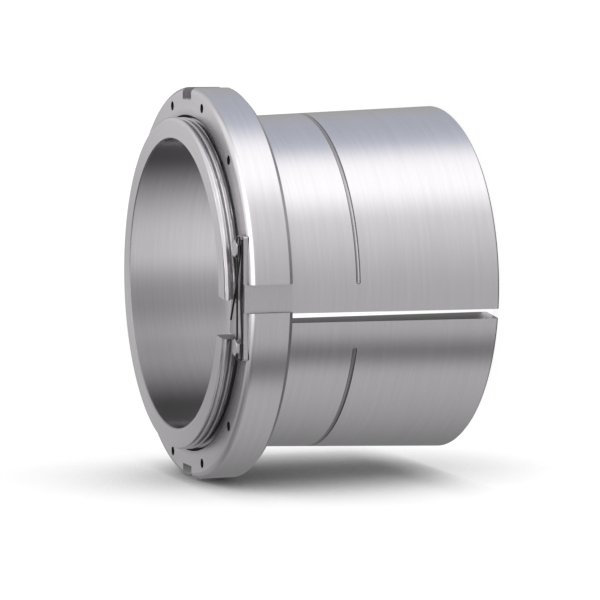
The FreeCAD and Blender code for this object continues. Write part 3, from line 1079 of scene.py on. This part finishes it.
# Floor, table top and wall, and where the floor and the wall turn clear
STAGE_SIZE = 6.0
STAGE_MATT = 0.25
STAGE_GLOW = 0.9
TABLE_GLOW = 1.7
TABLE_RADIUS = 106.0 * MM
WALL_GAP = 0.6 * MM
WALL_BELOW = 600.0 * MM
FLOOR_CLEAR = (-60.0 * MM, -95.0 * MM)
WALL_CLEAR = (80.0 * MM, 150.0 * MM)

# Painted shadow on floor and wall, looked for along a normal that leans towards the object
SHADE_REACH = 400.0 * MM
SHADE_RANGE = (-0.03, 0.75)
LAMP_SIDE_FROM = -100.0 * MM
FLOOR_LEAN = -1.2
WALL_LEAN_FRONT = -0.8
WALL_LEAN_BACK = 1.1
LEAN_START = 50.0 * MM
BEHIND_FROM = 30.0 * MM
BEHIND_WIDTH = (105.0 * MM, 45.0 * MM)

# Lamp and camera. The photograph's up is +X here.
LAMP_PLACE = (3.5, 0.0, -0.3)
LAMP_TARGET = (0.0, 0.0, 0.1)
LAMP_SIZE = 2.8
LAMP_POWER = 40.0
CAMERA_PLACE = Vector((179.27, -1981.03, 821.15)) * MM
CAMERA_AHEAD = (-0.09108, 0.93510, -0.34248)
CAMERA_UP = (0.99584, 0.08625, -0.02933)
CAMERA_LENS = 188.82
CAMERA_SENSOR = 36.0
CAMERA_NEAR = 0.1
CAMERA_FAR = 20.0


def seen_or_mirrored(nodes, with_gloss=True):
    """1 for camera rays and for what glass and, if asked, metal show; 0 for other rays."""
    paths = nodes.add("ShaderNodeLightPath").outputs
    seen = nodes.math("MAXIMUM", paths["Is Camera Ray"], paths["Is Transmission Ray"])
    if with_gloss:
        seen = nodes.math("MAXIMUM", seen, paths["Is Glossy Ray"])
    return seen


def see_through(nodes, front, place, start, end):
    """The front's shader, clear from behind, and clear where this coordinate is past the end."""
    back = nodes.add("ShaderNodeNewGeometry").outputs["Backfacing"]
    fade = nodes.add("ShaderNodeMapRange", place, start, end).outputs[0]
    clear = nodes.add("ShaderNodeBsdfTransparent").outputs[0]
    return nodes.add("ShaderNodeMixShader", nodes.math("MAXIMUM", back, fade), front, clear).outputs[0]


def shaded_white(name, axis, clear):
    """A matt stage that glows white, with a painted shadow near the object, and turns clear along this
    axis.
    """
    material, nodes = new_material(name)
    geometry = nodes.add("ShaderNodeNewGeometry").outputs
    place = nodes.split(geometry["Position"])
    x, y, z = place
    front_lean = nodes.smooth(z, NUT_BACK, SLEEVE_LENGTH, 0.0, WALL_LEAN_FRONT)
    back_lean = nodes.smooth(z, LEAN_START, 0.0, 0.0, WALL_LEAN_BACK)
    in_width = nodes.smooth(nodes.math("ABSOLUTE", x), *BEHIND_WIDTH)
    behind = nodes.times(nodes.smooth(y, BEHIND_FROM, THREAD_RADIUS), in_width)
    lean = nodes.join(0.0, nodes.times(behind, FLOOR_LEAN), nodes.plus(front_lean, back_lean))
    facing = nodes.vector_math("NORMALIZE", nodes.vector_math("ADD", geometry["Normal"], lean))
    open_share = nodes.smooth(openness(nodes, SHADE_REACH, facing), *SHADE_RANGE)
    lamp_side = nodes.math("SUBTRACT", nodes.smooth(x, -NUT_RADIUS, LAMP_SIDE_FROM), behind)
    # Painted shadow: the white glow fades with the openness, except on the lamp's side of the floor
    glow = nodes.times(nodes.math("MAXIMUM", open_share, lamp_side), STAGE_GLOW)
    emission = nodes.emission(WHITE, nodes.times(seen_or_mirrored(nodes), glow))
    diffuse = nodes.add("ShaderNodeBsdfDiffuse", grey(STAGE_MATT)).outputs[0]
    both = nodes.add("ShaderNodeAddShader", diffuse, emission).outputs[0]
    nodes.finish(see_through(nodes, both, place[axis], *clear))
    return material


def light_table():
    """A glowing table top under the bore, white to the eye and brighter in what the metal mirrors."""
    material, nodes = new_material("table_white")
    gloss = nodes.times(nodes.add("ShaderNodeLightPath").outputs["Is Glossy Ray"], TABLE_GLOW)
    nodes.finish(nodes.emission(WHITE, nodes.plus(gloss, seen_or_mirrored(nodes, False))))
    return material


def studio_band(nodes, angle, centre, half_width, edge):
    """A soft-edged upright band of the surround, 1 inside it and 0 outside."""
    from_centre = nodes.math("WRAP", nodes.math("SUBTRACT", angle, centre), FULL_TURN / 2, -FULL_TURN / 2)
    away = nodes.math("ABSOLUTE", from_centre)
    return nodes.smooth(away, half_width + edge, half_width)


def banded_level(nodes, angle, base, bands):
    """The base level plus each band's strength."""
    level = base
    for centre, half_width, edge, strength in bands:
        level = nodes.scaled(studio_band(nodes, angle, centre, half_width, edge), strength, level)
    return level


def overhead_light(nodes, x, y):
    """The strength of the light overhead, dimmer away from the lamp and beyond the axis."""
    across = nodes.scaled(nodes.smooth(x, *OVERHEAD_EDGE), OVERHEAD_RISE, OVERHEAD_LEVEL)
    return nodes.times(across, nodes.smooth(y, *OVERHEAD_BEHIND, 1.0, OVERHEAD_BEHIND_SHARE))


def mirrored_level(nodes, angle, x, y, z):
    """How bright the surround is for the metal in this direction."""
    bands = banded_level(nodes, angle, SURROUND_BASE, SURROUND_BANDS)
    far_wall = nodes.scaled(nodes.smooth(x, *FAR_WALL_EDGE), FAR_WALL_RISE, FAR_WALL_LEVEL)
    above_floor = nodes.smooth(z, *FLOOR_LINE)
    beyond = nodes.times(nodes.smooth(y, *FAR_WALL_START), above_floor)
    near = nodes.times(bands, nodes.scaled(above_floor, ABOVE_FLOOR_LOSS, 1.0))
    level = nodes.mix_values(beyond, near, far_wall)
    height = nodes.scaled(nodes.math("MAXIMUM", x, 0.0), LOWER_BESIDE, z)
    height = nodes.scaled(nodes.math("MINIMUM", y, 0.0), LOWER_IN_FRONT, height)
    level = nodes.mix_values(nodes.smooth(height, *OVERHEAD_START), level, overhead_light(nodes, x, y))
    return nodes.times(level, nodes.smooth(z, *GROUND_EDGE, GROUND_SHARE, 1.0))


def studio_surround():
    """White for the camera, plain for matt faces, and for the metal pale walls, lamps and a dark gap."""
    world = bpy.data.worlds.new("studio")
    bpy.context.scene.world = world
    world.use_nodes = True
    world.cycles.sampling_method = "NONE"
    nodes = Nodes(world.node_tree)
    x, y, z = nodes.split(nodes.add("ShaderNodeTexCoord").outputs["Generated"])
    angle = nodes.math("DEGREES", nodes.math("ARCTAN2", x, nodes.times(y, -1.0)))
    paths = nodes.add("ShaderNodeLightPath").outputs
    from_matt = nodes.math("GREATER_THAN", paths["Diffuse Depth"], 0.5)
    level = nodes.times(mirrored_level(nodes, angle, x, y, z), nodes.scaled(from_matt, MATT_LOSS, 1.0))
    sky = nodes.times(studio_band(nodes, angle, *SKY_PATCH), nodes.smooth(z, *SKY_PATCH_EDGE))
    mirrored = nodes.emission(nodes.blend_colours(sky, WHITE, SKY_TINT), level, "ShaderNodeBackground")
    plain_level = nodes.smooth(seen_or_mirrored(nodes), 0.0, 1.0, OPEN_LIGHT, 1.0)
    plain = nodes.emission(WHITE, plain_level, "ShaderNodeBackground")
    mix = nodes.add("ShaderNodeMixShader", paths["Is Glossy Ray"], plain, mirrored)
    nodes.finish(mix.outputs[0], "ShaderNodeOutputWorld")


def bore_light():
    """Light that only the bore mirrors, in soft bands round the axis, and strong low down at the back."""
    material, nodes = new_material("bore_glow")
    x, y, z = nodes.split(nodes.object_place())
    angle = nodes.math("DEGREES", nodes.math("ARCTAN2", y, x))
    level = banded_level(nodes, angle, BORE_BASE, BORE_BANDS)
    level = nodes.times(level, nodes.smooth(z, *BORE_FADE, *BORE_FADE_LEVELS))
    low_down = nodes.times(nodes.smooth(z, *BORE_LOW), nodes.smooth(y, *BORE_BACK))
    nodes.finish(nodes.emission(WHITE, nodes.mix_values(low_down, level, BORE_LOW_LEVEL)))
    return material


def stage_piece(piece, material):
    """Gives a stage piece its material."""
    piece.data.materials.append(material)


def make_floor():
    """The floor round the sleeve, and the bright table top that shows through its bore."""
    inner = circle(TABLE_RADIUS, 0)
    floor = new_piece("floor", circle(STAGE_SIZE, 0) + inner, wall_faces(COLUMNS))
    stage_piece(floor, shaded_white("floor_white", "X", FLOOR_CLEAR))
    floor.visible_glossy = False
    floor.visible_shadow = False
    table = new_piece("light_table", inner, [tuple(range(COLUMNS))])
    stage_piece(table, light_table())


def make_wall():
    """A white wall that the nut just clears, on the side away from the lamp. Only the camera sees it."""
    x = -NUT_RADIUS - WALL_GAP
    low = -WALL_BELOW
    high = STAGE_SIZE
    corners = [(x, -STAGE_SIZE, low), (x, STAGE_SIZE, low), (x, STAGE_SIZE, high), (x, -STAGE_SIZE, high)]
    wall = new_piece("wall", corners, [(0, 1, 2, 3)])
    stage_piece(wall, shaded_white("wall_white", "Y", WALL_CLEAR))
    wall.visible_diffuse = False
    wall.visible_glossy = False
    wall.visible_shadow = False


def make_bore_tent():
    """A lit tube just inside the bore, open at both ends. Nothing but the metal's gloss sees it."""
    points = circle(TENT_RADIUS, TENT_GAP) + circle(TENT_RADIUS, SLEEVE_LENGTH - TENT_GAP)
    tent = new_piece("bore_tent", points, wall_faces(COLUMNS))
    stage_piece(tent, bore_light())
    tent.visible_camera = False
    tent.visible_diffuse = False
    tent.visible_transmission = False
    tent.visible_shadow = False


def make_lamp():
    """A broad lamp that lights the stage softly. The metal mirrors the surround instead."""
    data = bpy.data.lights.new("top_lamp", "AREA")
    data.shape = "RECTANGLE"
    data.size = LAMP_SIZE
    data.size_y = LAMP_SIZE
    data.energy = LAMP_POWER
    lamp = bpy.data.objects.new("top_lamp", data)
    lamp.location = LAMP_PLACE
    towards = Vector(LAMP_TARGET) - Vector(LAMP_PLACE)
    lamp.rotation_euler = towards.to_track_quat("-Z", "Y").to_euler()
    lamp.visible_glossy = False
    lamp.visible_camera = False
    bpy.context.scene.collection.objects.link(lamp)


def make_camera():
    """The photograph's view: from the clip's side and above, with the threaded end to the left."""
    ahead = Vector(CAMERA_AHEAD).normalized()
    right = ahead.cross(Vector(CAMERA_UP)).normalized()
    up = right.cross(ahead)
    data = bpy.data.cameras.new("camera")
    data.lens = CAMERA_LENS
    data.sensor_width = CAMERA_SENSOR
    data.clip_start = CAMERA_NEAR
    data.clip_end = CAMERA_FAR
    camera = bpy.data.objects.new("camera", data)
    axes = Matrix((right, up, -ahead)).transposed().to_4x4()
    camera.matrix_world = Matrix.Translation(CAMERA_PLACE) @ axes
    bpy.context.scene.collection.objects.link(camera)
    bpy.context.scene.camera = camera


sleeve_materials = [sleeve_steel(), bored_steel(), cut_steel(), grooved_steel()]
place_piece(make_sleeve(), sleeve_materials, "adapter_sleeve")
place_piece(make_nut(), [nut_steel(), milled_steel(), painted_shade_steel()], "lock_nut")
place_piece(make_clip(), [clip_steel()], "locking_clip")
bolt_metal = bolt_steel()
place_piece(make_bolt(BOLT_SIDE, "bolt_upper"), [bolt_metal], "clip_bolt_upper")
place_piece(make_bolt(-BOLT_SIDE, "bolt_lower"), [bolt_metal], "clip_bolt_lower")
place_piece(make_wire(), [black_wire()], "lock_wire")

studio_surround()
make_floor()
make_wall()
make_bore_tent()
make_lamp()
make_camera()
bpy.context.scene.view_settings.view_transform = "Standard"
